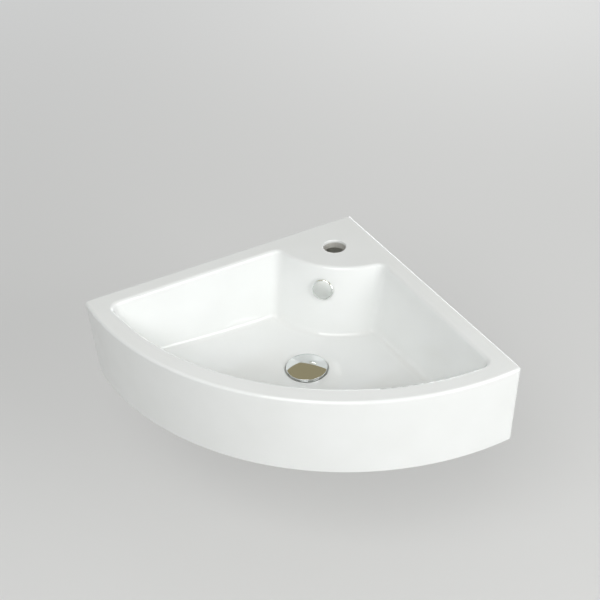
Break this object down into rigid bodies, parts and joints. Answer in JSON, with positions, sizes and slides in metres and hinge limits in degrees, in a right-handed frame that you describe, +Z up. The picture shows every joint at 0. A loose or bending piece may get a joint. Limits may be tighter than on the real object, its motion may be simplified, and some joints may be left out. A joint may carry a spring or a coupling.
{
  "type": "corner wash basin",
  "caption": "Wall-hung corner basin of white glazed china with one tap hole, an overflow and a click waste.",
  "frame": {"origin": "lower end of the basin's back arris, where the two wall faces meet at the underside of the apron", "axes": "+Z up; the wall faces are the planes X = 0 and Y = 0; the basin fills +X and -Y"},
  "size_m": [0.4941, 0.4941, 0.188],
  "materials": {
    "vitreous_china": "gloss white glaze",
    "chrome_plate": "polished chrome plate on brass",
    "brass": "machined brass",
    "black_rubber": "moulded rubber",
    "white_foam": "closed-cell foam",
    "white_nylon": "moulded nylon",
    "white_acetal": "moulded acetal",
    "spring_steel": "stainless spring wire",
    "zinc_steel": "bright zinc plate"
  },
  "bodies": {
    "basin": {"basin_body": "vitreous_china", "overflow_cover": "chrome_plate", "overflow_insert": "white_nylon", "waste_body": "chrome_plate", "flange_seal": "white_foam", "under_seal": "black_rubber", "slip_washer": "white_nylon", "back_nut": "brass", "cartridge_housing": "white_acetal", "cartridge_cap": "white_acetal", "cartridge_nut": "brass", "click_spring": "spring_steel", "wall_bolts": "zinc_steel", "bolt_sleeves": "white_nylon", "bolt_washers": "zinc_steel", "bolt_nuts": "zinc_steel"},
    "lifter": {"plunger": "white_acetal"},
    "plug": {"plug_dome": "chrome_plate", "plug_seal": "black_rubber", "plug_stem": "brass", "stem_clip": "spring_steel"},
    "latch": {"latch_rotor": "white_acetal"}
  },
  "joints": [
    {"name": "plug_lift", "type": "slide", "parent": "basin", "child": "lifter", "axis": [0, 0, 1], "range_m": [0, 0.008], "deforming": ["click_spring"]},
    {"name": "plug_turn", "type": "hinge", "parent": "lifter", "child": "plug", "pos_m": [0.18385, -0.18385, 0.022], "axis": [0, 0, 1], "continuous": true},
    {"name": "latch_turn", "type": "hinge", "parent": "lifter", "child": "latch", "pos_m": [0.18385, -0.18385, -0.008], "axis": [0, 0, 1], "continuous": true}
  ]
}
